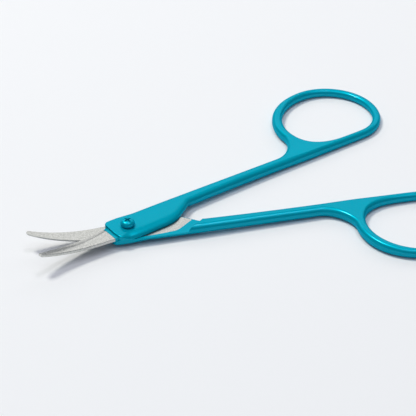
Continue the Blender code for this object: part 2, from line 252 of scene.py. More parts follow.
def to_object(bm, name):
    bmesh.ops.remove_doubles(bm, verts=bm.verts, dist=WELD)
    bmesh.ops.recalc_face_normals(bm, faces=bm.faces)
    mesh = bpy.data.meshes.new(name)
    bm.to_mesh(mesh)
    bm.free()
    obj = bpy.data.objects.new(name, mesh)
    bpy.context.scene.collection.objects.link(obj)
    return obj


def apply_modifiers(obj):
    bpy.context.view_layer.update()
    evaluated = obj.evaluated_get(bpy.context.evaluated_depsgraph_get())
    mesh = bpy.data.meshes.new_from_object(evaluated)
    obj.modifiers.clear()
    old = obj.data
    obj.data = mesh
    bpy.data.meshes.remove(old)


def combine(obj, tool, operation, keep_tool=False):
    modifier = obj.modifiers.new("combine", "BOOLEAN")
    modifier.operation = operation
    modifier.object = tool
    modifier.solver = "EXACT"
    apply_modifiers(obj)
    if not keep_tool:
        bpy.data.objects.remove(tool)


# %% Copy, move and shade an object
SHARP_ANGLE = math.radians(28)
FLAT_WEIGHT = 100           # the highest: a flat face decides its rim's normals


def copy_of(obj, name):
    twin = obj.copy()
    twin.data = obj.data.copy()
    twin.name = name
    bpy.context.scene.collection.objects.link(twin)
    return twin


def move_mesh(obj, matrix):
    obj.data.transform(matrix)
    obj.data.update()


def print_faces(label, *objs):
    print(label, *(len(obj.data.polygons) for obj in objs), "faces")


def smooth(obj):
    obj.data.shade_smooth()
    obj.data.set_sharp_from_angle(angle=SHARP_ANGLE)
    weighted = obj.modifiers.new("flat faces stay flat", "WEIGHTED_NORMAL")
    weighted.mode = "FACE_AREA"
    weighted.weight = FLAT_WEIGHT
    weighted.keep_sharp = True


# %% Rows, loops and prisms
def quarter_angles(rows):
    return [math.pi / 2 * row / rows for row in range(rows + 1)]


def first_loop(bm, points, number):
    """A closed loop of edges. Each point carries its number, and extruding hands it on."""
    verts = [bm.verts.new(point) for point in points]
    for index, vert in enumerate(verts):
        vert[number] = index
    edges = [bm.edges.new((verts[index - 1], verts[index])) for index in range(len(verts))]
    return verts, edges


def extrude_loop(bm, edges):
    """Grow a loop by one row. Returns the new points and the edges of the new rim."""
    grown = bmesh.ops.extrude_edge_only(bm, edges=edges)["geom"]
    verts = [item for item in grown if isinstance(item, bmesh.types.BMVert)]
    rim = [item for item in grown if isinstance(item, bmesh.types.BMEdge) and item.is_boundary]
    return verts, rim


def prism(name, points, low, high):
    """The outline that the points draw, as a solid from one height to another."""
    bm = bmesh.new()
    face = bm.faces.new([bm.verts.new((point[0], point[1], low)) for point in points])
    grown = bmesh.ops.extrude_face_region(bm, geom=[face])["geom"]
    top = [item for item in grown if isinstance(item, bmesh.types.BMVert)]
    bmesh.ops.translate(bm, verts=top, vec=(0.0, 0.0, high - low))
    return to_object(bm, name)


# %% [markdown]
# ## The handle
#
# The forging has a flat top and bottom and a generous round along every edge, so that it is kind
# to the fingers. The round changes on the way: it is crisp at the front of the joint plate, wide
# and gentle along the plate's inner side, and narrow round the ring. A Bevel has one width and
# would struggle where the ring's rod is hardly wider than its two rounds. Here the edge is grown
# row by row instead: the outline is one loop of edges, each row is extruded from the last, and
# the new points are set on a quarter ellipse whose width and height depend on the place.

# %% Width and height of the round
EDGE_ROUND = 0.00112        # height of the round along the edges of a handle
SHANK_ROUND = 0.00125       # its width along the shank
RING_ROUND = 0.00095        # its width round the ring
PLATE_ROUND = 0.0025        # and its width along the plate's inner side, which falls away gently
FRONT_ROUND = 0.00024       # radius along the front edge of the joint plate
INNER_BLEND = 0.0030        # run behind the front over which the inner edge's round grows
OUTER_START = 0.0025        # the outer edge stays crisp this far behind the front
OUTER_BLEND = 0.0065        # and its round grows over this run
CORNER_SHARE = 0.14         # of the full round, at the inner front corner


def ease(share):
    share = min(max(share, 0.0), 1.0)
    return share * share * (3 - 2 * share)


def edge_radii(place):
    """Width and height of the round at a place of the plan."""
    behind = place.x + PLATE_FRONT
    if place.y > 0:
        grown = ease((behind - OUTER_START) / OUTER_BLEND)
    else:
        grown = max(ease(behind / INNER_BLEND), CORNER_SHARE * ease(-place.y / THROAT_DEPTH * 2))
    on_shank = ease((place.x - PLATE_WIDEST) / (SHANK_START - PLATE_WIDEST))
    in_ring = ease((place.x - SHANK_WAIST) / (hole_near - SHANK_WAIST))
    on_plate = SHANK_ROUND if place.y > PLATE_OUTER / 2 else PLATE_ROUND
    full = on_plate + (SHANK_ROUND - on_plate) * on_shank + (RING_ROUND - SHANK_ROUND) * in_ring
    width = FRONT_ROUND + (full - FRONT_ROUND) * grown
    height = FRONT_ROUND + (EDGE_ROUND - FRONT_ROUND) * grown
    return width, height


# %% Grow the rounded edge
ROUND_ROWS = 9              # of the lower round, and as many of the upper one
last_row = 2 * ROUND_ROWS + 1


def thinness(along):
    """Share of the full height: the ring thins towards its far end."""
    share = min(max((along - hole_near) / (PIVOT_TO_RING_END - hole_near), 0.0), 1.0)
    return 1 - (1 - ROD_AT_END / HANDLE_HEIGHT) * (1 - (1 - share) ** 2)


def edge_point(place, inward, row):
    width, height = edge_radii(place)
    if row <= ROUND_ROWS:
        angle = math.pi / 2 * (1 - row / ROUND_ROWS)
        side = -1
    else:
        angle = math.pi / 2 * (row - ROUND_ROWS - 1) / ROUND_ROWS
        side = 1
    point = place + inward * width * (1 - math.cos(angle))
    point.z = side * (half_height - height + height * math.sin(angle)) * thinness(place.x)
    return point


def left_of(line):
    """For each point of a closed line, the unit vector to its left."""
    ways = []
    for index in range(len(line)):
        along = (line[(index + 1) % len(line)] - line[index - 1]).normalized()
        ways.append(Vector((-along.y, along.x, 0.0)))
    return ways


def grow_edge(bm, line, turn):
    """One closed rounded edge. turn is +1 where the body lies left of the line, else -1."""
    number = bm.verts.layers.int["number"]
    inward = [way * turn for way in left_of(line)]
    verts, first = first_loop(bm, line, number)
    edges = first
    for row in range(last_row + 1):
        for vert in verts:
            index = vert[number]
            vert.co = edge_point(line[index], inward[index], row)
        if row < last_row:
            verts, edges = extrude_loop(bm, edges)
    return first, edges


# %% [markdown]
# ## The body of a handle
#
# The outline and the finger hole each give one rounded edge, which ends in a loop at the bottom
# and a loop at the top. That leaves the flat bottom and the flat top open, each with a hole in
# it. A single many-sided face can't have a hole, so a triangle fill closes them.

# %% Body of a handle
def handle_body(name):
    bm = bmesh.new()
    bm.verts.layers.int.new("number")
    outer_low, outer_high = grow_edge(bm, outline, 1)
    hole_bottom, hole_top = grow_edge(bm, hole_line, -1)
    for loops in (outer_low + hole_bottom, outer_high + hole_top):
        bmesh.ops.triangle_fill(bm, use_beauty=True, use_dissolve=False, edges=loops)
    return to_object(bm, name)


upper_handle = handle_body("upper_handle")
print_faces("handle body", upper_handle)

# %% [markdown]
# ## The lapped joint
#
# Ahead of a slanted step each forging is milled to half its thickness, so that two of them lie
# across each other within the height of one. Moving the points of the finished body would distort
# its rounds, so the lap is cut, as it is on the real one. The cutter is a profile, drawn across
# the step and extruded along it: a fillet at the foot of the step, and a round over its lip.

# %% Mill the lap
COAT_GAP = 0.00004          # from the parting plane to the enamelled edge of a joint face
STEP_INNER = 0.0180         # where the full thickness starts, along the inner side
STEP_ROUND = 0.0008
STEP_FILLET = 0.0003
LIP_SHARE = 0.94            # depth of the lip's centre, in its radius
ARC_STEPS = 12
OVERRUN = 0.0010            # how far a cut runs past the surface it opens
turned_over = Matrix.Rotation(math.pi, 4, "X")


def arc(centre, radius, start, end):
    points = []
    for step in range(ARC_STEPS + 1):
        angle = math.radians(start + (end - start) * step / ARC_STEPS)
        points.append((centre[0] + radius * math.cos(angle), centre[1] + radius * math.sin(angle)))
    return points


def lap_cutter(name):
    low = -half_height - OVERRUN
    reach = STEP_INNER + PLATE_FRONT + PLATE_INNER
    lip = -half_height + STEP_ROUND * LIP_SHARE
    profile = [(-reach, COAT_GAP)]
    profile += arc((-STEP_FILLET, COAT_GAP - STEP_FILLET), STEP_FILLET, 90, 0)
    profile += arc((STEP_ROUND, lip), STEP_ROUND, 180, 270)
    profile += [(STEP_ROUND, low), (-reach, low)]
    cutter = prism(name, profile, -reach, reach)
    start = Vector((STEP_OUTER, PLATE_OUTER, 0.0))
    end = Vector((STEP_INNER, SHANK_STANDOFF, 0.0))
    along = (end - start).normalized()
    up = Vector((0.0, 0.0, 1.0))
    turn = Matrix((up.cross(along), up, along)).transposed().to_4x4()
    move_mesh(cutter, Matrix.Translation((start + end) / 2) @ turn)
    return cutter


combine(upper_handle, lap_cutter("lap_cutter"), "DIFFERENCE")
lower_handle = copy_of(upper_handle, "lower_handle")
move_mesh(lower_handle, turned_over)
print_faces("milled handle", upper_handle)

# %% [markdown]
# ## Bores for the pivot screw
#
# The upper half turns on the screw's plain neck, and the screw's thread is cut into the lower
# half, so the two bores differ in size. A drill is a cylinder that runs past both sides.

# %% Drill both handles
NECK_RADIUS = 0.0010
THREAD_RADIUS = 0.00085
RUNNING_CLEARANCE = 0.00003
BORE_STEPS = 64


def drill(obj, radius):
    bm = bmesh.new()
    bmesh.ops.create_cone(bm, cap_ends=True, segments=BORE_STEPS, radius1=radius, radius2=radius,
                          depth=HANDLE_HEIGHT + 2 * OVERRUN)
    combine(obj, to_object(bm, "drill"), "DIFFERENCE")


drill(upper_handle, NECK_RADIUS + RUNNING_CLEARANCE)
drill(lower_handle, THREAD_RADIUS + RUNNING_CLEARANCE)
print_faces("drilled handles", upper_handle, lower_handle)

# %% [markdown]
# ## Where the enamel stops
#
# The lapped faces are ground after dipping, so they are bare except for a band along the outer
# edge, which widens over the shoulder. A mask could paint the border on the handle, but it would
# have no edge of its own. So the bare patch becomes a thin steel slab: what a prism shares with
# the handle is kept as steel, and the same prism is cut out of the enamel.

# %% Part the bare face from the enamel
BARE_GAP = 0.00006          # from the parting plane to the bare steel of a joint face
SLAB_DEPTH = 0.00006        # thickness of the steel slab under it
BAND_WIDTH = 0.00040        # of the enamel left along the outer side, at the front
BAND_END = 0.0104           # where the band widens, behind the pivot
BAND_END_WIDTH = 0.00125
BAND_SLANT = 8.0
BARE_BEND = 0.0130          # where the patch's edge turns down along the step
BARE_BEND_HEIGHT = 0.00142
BARE_END = 0.0168           # and where it meets the inner side
BARE_END_DEPTH = 0.0018
BARE_SLANT = 41.0
LIP_WIDTH = 0.00008         # enamel left along the plate's own edge


def inset(line, width):
    return [point + way * width for point, way in zip(line, left_of(line))]


def bare_patch(name):
    edge = PLATE_FRONT + OVERRUN
    below = -PLATE_INNER - OVERRUN
    spots = [
        ((-edge, PLATE_OUTER - BAND_WIDTH), 0, STRAIGHT_SHARE, STRAIGHT_SHARE),
        ((BAND_END, PLATE_OUTER - BAND_END_WIDTH), -BAND_SLANT, STRAIGHT_SHARE, ROUND_SHARE),
        ((BARE_BEND, BARE_BEND_HEIGHT), -BARE_SLANT, ROUND_SHARE, STRAIGHT_SHARE),
        ((BARE_END, -BARE_END_DEPTH), CROWN - BARE_SLANT, STRAIGHT_SHARE, STRAIGHT_SHARE),
    ]
    open_stretches = len(spots) - 1
    line = closed_line(spots)[:open_stretches * LINE_STEPS + 1]
    corners = [Vector((BARE_END, below, 0.0)), Vector((-edge, below, 0.0))]
    patch = prism(name, line + corners, -OVERRUN, COAT_GAP + SLAB_DEPTH)
    within = prism("within", inset(outline, LIP_WIDTH), -2 * OVERRUN, OVERRUN)
    combine(patch, within, "INTERSECT")
    return patch


def part_bare_face(handle, name, flip):
    patch = bare_patch(name + "_patch")
    move_mesh(patch, flip)
    slab = copy_of(handle, name)
    combine(slab, patch, "INTERSECT", keep_tool=True)
    combine(handle, patch, "DIFFERENCE")
    for vert in slab.data.vertices:
        if abs(abs(vert.co.z) - COAT_GAP) < WELD:
            vert.co.z = math.copysign(BARE_GAP, vert.co.z)
    return slab


upper_slab = part_bare_face(upper_handle, "upper_slab", Matrix())
lower_slab = part_bare_face(lower_handle, "lower_slab", turned_over)
print_faces("slabs", upper_slab, lower_slab)

# %% [markdown]
# ## The blades
#
# Both blades bend up towards their tips along one shared surface, so they stay in touch while
# they slide past each other. A straight blade could be bent by a modifier, but then its inner
# face would not keep to that surface when it turns. Here a formula lifts every point by its
# distance from the pivot alone, so both blades fit the surface at any opening.

# %% Plan and lift of a blade
PIVOT_TO_UPPER_TIP = 0.0245
PIVOT_TO_LOWER_TIP = 0.0239
BLADE_ROOT_CUT = 0.0028     # from the pivot's line to the cutting edge, at the root
BLADE_ROOT_SPINE = 0.0026   # and to the spine
BLADE_TIP_WIDTH = 0.0012
BLADE_STRAIGHT = 0.0086     # the blade stays level up to here
BLADE_BEND_RADIUS = 0.0465
BLADE_SEAT = 0.0008         # how far its root reaches into the joint plate
CUT_EDGE_SHARES = ((0.0, 1.0), (0.30, 0.68), (0.71, 0.62), (1.0, 0.0))
SPINE_SHARES = ((0.0, 1.0), (0.30, 0.50), (0.61, 0.14), (1.0, 0.0))
blade_root = PLATE_FRONT - BLADE_SEAT


def bezier_value(shares, t):
    weights = ((1 - t) ** 3, 3 * t * (1 - t) ** 2, 3 * t ** 2 * (1 - t), t ** 3)
    return [sum(weight * pair[axis] for weight, pair in zip(weights, shares)) for axis in (0, 1)]


def blade_lift(distance):
    return max(distance - BLADE_STRAIGHT, 0.0) ** 2 / BLADE_BEND_RADIUS / 2


# %% [markdown]
# ## The section of a blade
#
# A blade is flat on its inner face. Its outer face is hollow ground towards the cutting edge,
# where a narrow land is left standing, and its spine is rounded. The bevel could be cut with a
# Boolean, but it widens towards the tip, so a function draws the section at any station instead.

# %% One station of a blade
CAD_GAP = 0.00015           # from the parting plane to a joint face of the frame's solids
BLADE_ROOT_THICKNESS = 0.00066
BLADE_TIP_THICKNESS = 0.00058
BLADE_EDGE_LAND = 0.00052   # height of the land along the cutting edge
LAND_SLOPE = 0.40           # how far the land recedes, in its height
BLADE_SPINE_ROUND = 0.00014
GRIND_SHARES = (0.20, 0.50)     # width of the bevel at the root and near the tip, in the blade's
HOLLOW_SHARE = 0.40             # height of the bevel at its middle; 0.5 would be flat
TIP_INSET_SHARE = 0.40          # where the thinning faces meet at the tip
GRIND_ROWS = 8
SPINE_ROWS = 6


def section_line(width, thickness, grind, land, tip_share):
    """Once round the section: how far each point lies from the spine and the inner face."""
    base = thickness * (1 - tip_share) * TIP_INSET_SHARE
    top = thickness - base
    low = base + land * tip_share
    round_radius = BLADE_SPINE_ROUND * tip_share
    recess = land * tip_share * LAND_SLOPE
    line = [(0.0, base), (width, base)]
    for row in range(GRIND_ROWS + 1):
        share = row / GRIND_ROWS
        hollow = share + 4 * share * (1 - share) * (HOLLOW_SHARE - 0.5)
        line.append((width - recess - (grind - recess) * share, low + (top - low) * hollow))
    for angle in quarter_angles(SPINE_ROWS):
        line.append((round_radius * (1 - math.sin(angle)),
                     top - round_radius * (1 - math.cos(angle))))
    return line


def blade_section(t, tip_share, tip, side, coat=0.0):
    length = tip - blade_root
    cut_along, cut_taper = bezier_value(CUT_EDGE_SHARES, t)
    spine_along, spine_taper = bezier_value(SPINE_SHARES, t)
    cut = BLADE_ROOT_CUT * cut_taper + coat
    spine = -BLADE_TIP_WIDTH - (BLADE_ROOT_SPINE - BLADE_TIP_WIDTH) * spine_taper - coat
    middle = (cut + spine) / 2
    width = (cut - spine) * tip_share
    root_share, tip_side_share = GRIND_SHARES
    grind = width * (root_share + (tip_side_share - root_share) * min(2 * t, 1))
    thickness = BLADE_ROOT_THICKNESS + (BLADE_TIP_THICKNESS - BLADE_ROOT_THICKNESS) * t
    body = thickness + CAD_GAP - BARE_GAP + coat
    points = []
    for across, depth in section_line(width, body, grind, BLADE_EDGE_LAND + coat, tip_share):
        share = across / width
        along = -(blade_root + length * (spine_along + (cut_along - spine_along) * share))
        across += middle - width / 2
        height = blade_lift(math.hypot(along, across)) + side * (BARE_GAP + depth)
        points.append(Vector((along, across * side, height)))
    return points


# %% [markdown]
# ## Lofting the blades
#
# Blender has no loft, but a closed loop of edges, extruded from station to station and set on the
# next section each time, does the same. Bridging separate loops could pair the wrong points. The
# stations close up along a sine towards the tip, which rounds it.

# %% Loft both blades
BLADE_STEPS = 90
TIP_STEPS = 12


def loft(bm, sections):
    number = bm.verts.layers.int.new("number")
    _, edges = first_loop(bm, sections[0], number)
    bmesh.ops.contextual_create(bm, geom=edges)
    for section in sections[1:]:
        verts, edges = extrude_loop(bm, edges)
        for vert in verts:
            vert.co = section[vert[number]]
    bmesh.ops.contextual_create(bm, geom=edges)


def blade(name, tip, side):
    tip_start = 1 - BLADE_TIP_WIDTH / 2 / tip
    stations = [(tip_start * step / BLADE_STEPS, 1.0) for step in range(BLADE_STEPS + 1)]
    for angle in quarter_angles(TIP_STEPS)[1:-1]:
        stations.append((tip_start + (1 - tip_start) * math.sin(angle), math.cos(angle)))
    bm = bmesh.new()
    loft(bm, [blade_section(t, tip_share, tip, side) for t, tip_share in stations])
    return to_object(bm, name)


upper_blade = blade("upper_blade", PIVOT_TO_UPPER_TIP, 1)
lower_blade = blade("lower_blade", PIVOT_TO_LOWER_TIP, -1)
combine(upper_blade, upper_slab, "UNION")
combine(lower_blade, lower_slab, "UNION")
print_faces("blades", upper_blade, lower_blade)

# %% [markdown]
# ## The enamel's edge on the blade
#
# The dip reaches a little past the joint plate, so a thin coat runs on over the root of the blade
# and stops in a slanted line. A second colour on the blade could show it, but the real coat has a
# thickness and an edge. It is the blade's own section grown by that thickness, lofted over a
# short run, cut off by a slanted plane and joined to the handle.

# %% Coat the root of each blade
COAT = 0.00004              # thickness
COAT_END_CUT = 0.0052       # where the coat stops, from the pivot, along the cutting edge
COAT_END_SPINE = 0.0050     # and along the spine
COAT_STEPS = 10
COAT_REACH_SHARE = 0.14     # of the blade's length, past the end of the coat


def coat_root(handle, tip, side):
    shares = [COAT_REACH_SHARE * step / COAT_STEPS for step in range(COAT_STEPS + 1)]
    bm = bmesh.new()
    loft(bm, [blade_section(t, 1.0, tip, side, COAT) for t in shares])
    low = Vector((-COAT_END_CUT, BLADE_ROOT_CUT * side, 0.0))
    high = Vector((-COAT_END_SPINE, -BLADE_ROOT_SPINE * side, 0.0))
    away = (high - low).cross(Vector((0.0, 0.0, side))).normalized()
    if away.x > 0:
        away.negate()
    cut = bmesh.ops.bisect_plane(bm, geom=bm.verts[:] + bm.edges[:] + bm.faces[:], plane_co=low,
                                 plane_no=away, clear_outer=True)
    rim = [item for item in cut["geom_cut"] if isinstance(item, bmesh.types.BMEdge)]
    bmesh.ops.contextual_create(bm, geom=rim)
    # Outwards by half the coat, so that none lies on the blade's inner face.
    bmesh.ops.translate(bm, verts=bm.verts, vec=(0.0, 0.0, side * COAT / 2))
    combine(handle, to_object(bm, "coat"), "UNION")


coat_root(upper_handle, PIVOT_TO_UPPER_TIP, 1)
coat_root(lower_handle, PIVOT_TO_LOWER_TIP, -1)
print_faces("coated handles", upper_handle, lower_handle)

# %% [markdown]
# ## The undercut
#
# Where the blade meets the plate's front wall there is a fine undercut, the relief that lets a
# blade be ground up to the wall, and it reads as a dark line. A straight slot would miss the wall
# where it turns at the corners. So the cutter is a slot with the plate's own outline, inset,
# taken out of it, and the undercut follows the wall.

# %% Undercut the plate's front wall
GROOVE_HEIGHT = 0.00036
GROOVE_DEPTH = 0.00050
GROOVE_MARGIN = 0.00010     # past the blade's root on either side
groove_low = CAD_GAP + BLADE_ROOT_THICKNESS + COAT


def undercut(handle, flip):
    edge = PLATE_FRONT + OVERRUN
    spine = -BLADE_ROOT_SPINE - GROOVE_MARGIN
    cut = BLADE_ROOT_CUT + GROOVE_MARGIN
    corners = [(-edge, spine), (0.0, spine), (0.0, cut), (-edge, cut)]
    groove = prism("groove", corners, groove_low, groove_low + GROOVE_HEIGHT)
    combine(groove, prism("core", inset(outline, GROOVE_DEPTH), 0.0, HANDLE_HEIGHT), "DIFFERENCE")
    move_mesh(groove, flip)
    combine(handle, groove, "DIFFERENCE")


undercut(upper_handle, Matrix())
undercut(lower_handle, turned_over)
print_faces("finished handles", upper_handle, lower_handle)

# %% [markdown]
# ## To their places
#
# So far both halves lie shut, with the parting plane at the height of zero. In the frame they
# stand open and rest on the screw's end. The objects could be rotated, but posing moves whole
# objects, so the turn and the lift go into the meshes.

# %% Turn each half to its place
END_STANDOUT = 0.0009       # the screw's end below the lower half
parting_height = END_STANDOUT + half_height

for obj, side in ((upper_handle, 1), (upper_blade, 1), (lower_handle, -1), (lower_blade, -1)):
    turn = Matrix.Rotation(side * math.radians(opening / 2), 4, "Z")
    move_mesh(obj, Matrix.Translation((0.0, 0.0, parting_height)) @ turn)
    smooth(obj)

# %% [markdown]
# ## The pivot screw
#
# The head is turned: its dome is widest a little above the plate, and below that it curves in to
# its seat. A sphere, scaled, would give a dome but neither the rim nor the seat, so a profile is
# spun about the pivot axis.

# %% Turn the screw's head
HEAD_RADIUS = 0.00168
HEAD_SEAT_RADIUS = 0.00124
HEAD_SKIRT = 0.00052        # from the plate to where the head is widest
HEAD_RIM = 0.00010          # height of the plain rim above that
DOME_HEIGHT = 0.00098
DOME_FULLNESS = 0.86        # below 1 the dome is flatter on top and rounder at its rim
SEAT_GAP = 0.00002          # between the head and the plate
DOME_ROWS = 14
SKIRT_ROWS = 6
SPIN_STEPS = 72
head_low = parting_height + half_height + SEAT_GAP
head_widest = head_low + HEAD_SKIRT
head_top = head_widest + HEAD_RIM + DOME_HEIGHT


def spin_profile(bm, profile):
    verts = [bm.verts.new((across, 0.0, height)) for across, height in profile]
    edges = [bm.edges.new(pair) for pair in zip(verts, verts[1:])]
    bmesh.ops.spin(bm, geom=verts + edges, cent=(0, 0, 0), axis=(0, 0, 1), angle=2 * math.pi,
                   steps=SPIN_STEPS, use_merge=True)


def screw_head(name):
    profile = [(0.0, head_low)]
    for angle in quarter_angles(SKIRT_ROWS):
        profile.append((HEAD_SEAT_RADIUS + (HEAD_RADIUS - HEAD_SEAT_RADIUS) * math.sin(angle),
                        head_widest - HEAD_SKIRT * math.cos(angle)))
    for angle in quarter_angles(DOME_ROWS):
        profile.append((HEAD_RADIUS * math.cos(angle) ** DOME_FULLNESS,
                        head_top - DOME_HEIGHT * (1 - math.sin(angle) ** DOME_FULLNESS)))
    bm = bmesh.new()
    spin_profile(bm, profile)
    return to_object(bm, name)


pivot_head = screw_head("pivot_head")

# %% [markdown]
# ## The cross recess
#
# The driver's recess is a cross whose wings taper on the way down, round a cone in the middle. It
# could be drawn into the head's mesh, but a spun dome has no edges to draw it from. Two tapered
# cubes and a cone, cut away, leave the crisp rim that the punch leaves.

# %% Cut the cross recess
RECESS_WIDTH = 0.0027
RECESS_SLOT = 0.00058
RECESS_DEPTH = 0.00090
RECESS_FOOT_SHARES = (0.42, 0.38, 1.0)      # of a wing's foot, in its top's width and slot
RECESS_CONE_RADIUS = 0.00036                # at the top of the head
RECESS_CONE_DEPTHS = 2.2                    # its whole length, in the recess's depth
RECESS_TURN = 22.2


def recess_wing(turn):
    bm = bmesh.new()
    bmesh.ops.create_cube(bm, size=1.0)
    bmesh.ops.scale(bm, vec=(RECESS_WIDTH, RECESS_SLOT, RECESS_DEPTH * 2), verts=bm.verts)
    foot = [vert for vert in bm.verts if vert.co.z < 0]
    bmesh.ops.scale(bm, vec=RECESS_FOOT_SHARES, verts=foot)
    wing = to_object(bm, "wing")
    move_mesh(wing, Matrix.Translation((0.0, 0.0, head_top)) @ Matrix.Rotation(turn, 4, "Z"))
    return wing


def recess_cone():
    bm = bmesh.new()
    bmesh.ops.create_cone(bm, cap_ends=True, segments=SPIN_STEPS, radius1=0.0,
                          radius2=RECESS_CONE_RADIUS * 2, depth=RECESS_DEPTH * RECESS_CONE_DEPTHS)
    cone = to_object(bm, "cone")
    move_mesh(cone, Matrix.Translation((0.0, 0.0, head_top)))
    return cone


for quarter in range(2):
    turn = math.radians(RECESS_TURN) + quarter * math.pi / 2
    combine(pivot_head, recess_wing(turn), "DIFFERENCE")
combine(pivot_head, recess_cone(), "DIFFERENCE")
smooth(pivot_head)
print_faces("screw's head", pivot_head)

# %% [markdown]
# ## The screw's shank
#
# Below the head a plain neck turns in the upper half. The thinner thread goes through the lower
# half, and its end stands a little proud of it, so the joint rests on the table there. The thread
# could be cut as a helix, but it is hidden, so a plain cylinder takes its place, spun like the
# head.

# %% Turn the screw's shank
END_CHAMFER = 0.0002


def screw_shank(name):
    neck_end = parting_height + COAT_GAP
    profile = [(0.0, 0.0), (THREAD_RADIUS - END_CHAMFER, 0.0), (THREAD_RADIUS, END_CHAMFER),
               (THREAD_RADIUS, neck_end), (NECK_RADIUS, neck_end), (NECK_RADIUS, head_low),
               (0.0, head_low)]
    bm = bmesh.new()
    spin_profile(bm, profile)
    return to_object(bm, name)


pivot_shank = screw_shank("pivot_shank")
smooth(pivot_shank)
print_faces("screw's shank", pivot_shank)

# %% [markdown]
# ## Finishes
#
# Two finishes cover the whole object: dipped enamel and ground steel. Painted images could show
# them, but noise in a node group needs no UVs and stays sharp in a close-up. Both groups read
# Object coordinates, which lie still on a piece wherever the part is posed. The enamel is a
# smooth dip with metal flake in it: one colour that drifts a little, with a faint ripple where it
# flowed, and a thin clear film on top that keeps the small highlights white.

# %% Node helpers
# A Mix node keeps the sockets of all its modes, under the same names. These are the colour mode's.
MIX_FACTOR, MIX_FIRST, MIX_SECOND, MIX_RESULT = 0, 6, 7, 2
SURFACE = {"Colour": "NodeSocketColor", "Roughness": "NodeSocketFloat",
           "Normal": "NodeSocketVector"}


def set_inputs(node, values):
    for label, value in values.items():
        node.inputs[label].default_value = value


def add(tree, kind, inputs=None, **settings):
    """Add a node, make its settings and fill in the inputs that get no link."""
    node = tree.nodes.new(kind)
    for name, value in settings.items():
        setattr(node, name, value)
    set_inputs(node, inputs or {})
    return node


def new_group(name, inputs):
    """A group that gives a surface. Returns it, its sources and its results."""
    group = bpy.data.node_groups.new(name, "ShaderNodeTree")
    for label, kind, value in inputs:
        socket = group.interface.new_socket(label, in_out="INPUT", socket_type=kind)
        socket.default_value = value
    for label, kind in SURFACE.items():
        group.interface.new_socket(label, in_out="OUTPUT", socket_type=kind)
    source = group.nodes.new("NodeGroupInput")
    result = group.nodes.new("NodeGroupOutput")
    return group, source.outputs, result.inputs


def link_surface(tree, outputs, targets):
    for output, target in zip(outputs, targets):
        tree.links.new(output, target)


# %% Small runs of nodes
def noise(tree, place, inputs):
    texture = add(tree, "ShaderNodeTexNoise", inputs)
    tree.links.new(place, texture.inputs["Vector"])
    return texture


def rescaled(tree, value, limits):
    spread = add(tree, "ShaderNodeMapRange", limits)
    tree.links.new(value, spread.inputs["Value"])
    return spread.outputs["Result"]


def mixed(tree, factor, first, second):
    blend = add(tree, "ShaderNodeMix", data_type="RGBA")
    tree.links.new(factor, blend.inputs[MIX_FACTOR])
    tree.links.new(first, blend.inputs[MIX_FIRST])
    tree.links.new(second, blend.inputs[MIX_SECOND])
    return blend.outputs[MIX_RESULT]


def bumped(tree, height, strength, distance):
    bump = add(tree, "ShaderNodeBump", {"Distance": distance})
    tree.links.new(strength, bump.inputs["Strength"])
    tree.links.new(height, bump.inputs["Height"])
    return bump.outputs["Normal"]


# %% Group: a soft drift of colour and roughness with a ripple
DRIFT_SCALE = 90.0          # noise cells to the metre
RIPPLE_SCALE = 900.0
RIPPLE_STRENGTH = 0.1
RIPPLE_DEPTH = 0.00002
DRIFT_DETAIL = {"Detail": 3.0}
RIPPLE_DETAIL = {"Detail": 2.0}
DIP_ROUGHNESS = {"To Min": 0.33, "To Max": 0.41}


def make_dip_group():
    group, source, result = new_group("dip_coat", [
        ("Colour", "NodeSocketColor", (0.5, 0.5, 0.5, 1.0)),
        ("Deep colour", "NodeSocketColor", (0.4, 0.4, 0.4, 1.0)),
        ("Drift scale", "NodeSocketFloat", DRIFT_SCALE),
        ("Ripple scale", "NodeSocketFloat", RIPPLE_SCALE),
        ("Ripple height", "NodeSocketFloat", RIPPLE_STRENGTH)])
    place = add(group, "ShaderNodeTexCoord").outputs["Object"]
    drift = noise(group, place, DRIFT_DETAIL)
    group.links.new(source["Drift scale"], drift.inputs["Scale"])
    ripple = noise(group, place, RIPPLE_DETAIL)
    group.links.new(source["Ripple scale"], ripple.inputs["Scale"])
    colour = mixed(group, drift.outputs["Fac"], source["Colour"], source["Deep colour"])
    rough = rescaled(group, drift.outputs["Fac"], DIP_ROUGHNESS)
    normal = bumped(group, ripple.outputs["Fac"], source["Ripple height"], RIPPLE_DEPTH)
    link_surface(group, (colour, rough, normal), (result[label] for label in SURFACE))
    return group


dip_group = make_dip_group()
print(dip_group.name, "has", len(dip_group.nodes), "nodes")

# %% [markdown]
# ## Ground steel
#
# A wheel leaves fine parallel scratches across the blade. An image of scratches would need UVs
# and a file. Here a noise is squeezed along one axis until its cells are scratches, and "Turn"
# lays them across a blade. A second noise, with round cells, breaks up the colour.

# %% Group: parallel grinding marks
MARK_SCALE = (14000.0, 900.0, 900.0)    # close together along the blade, long across it
MARK_DEPTH = 0.00001
MARK_STRENGTH = 0.2
MARK_DETAIL = {"Scale": 1.0, "Detail": 4.0, "Roughness": 0.65}
SPECKLE_DETAIL = {"Scale": 2400.0, "Detail": 2.0}
GRAIN_CONTRAST = {"From Min": 0.82, "From Max": 1.18}   # the two noises add up to about 1
GRIND_ROUGHNESS = {"From Min": 0.3, "From Max": 0.7, "To Min": 0.24, "To Max": 0.34}


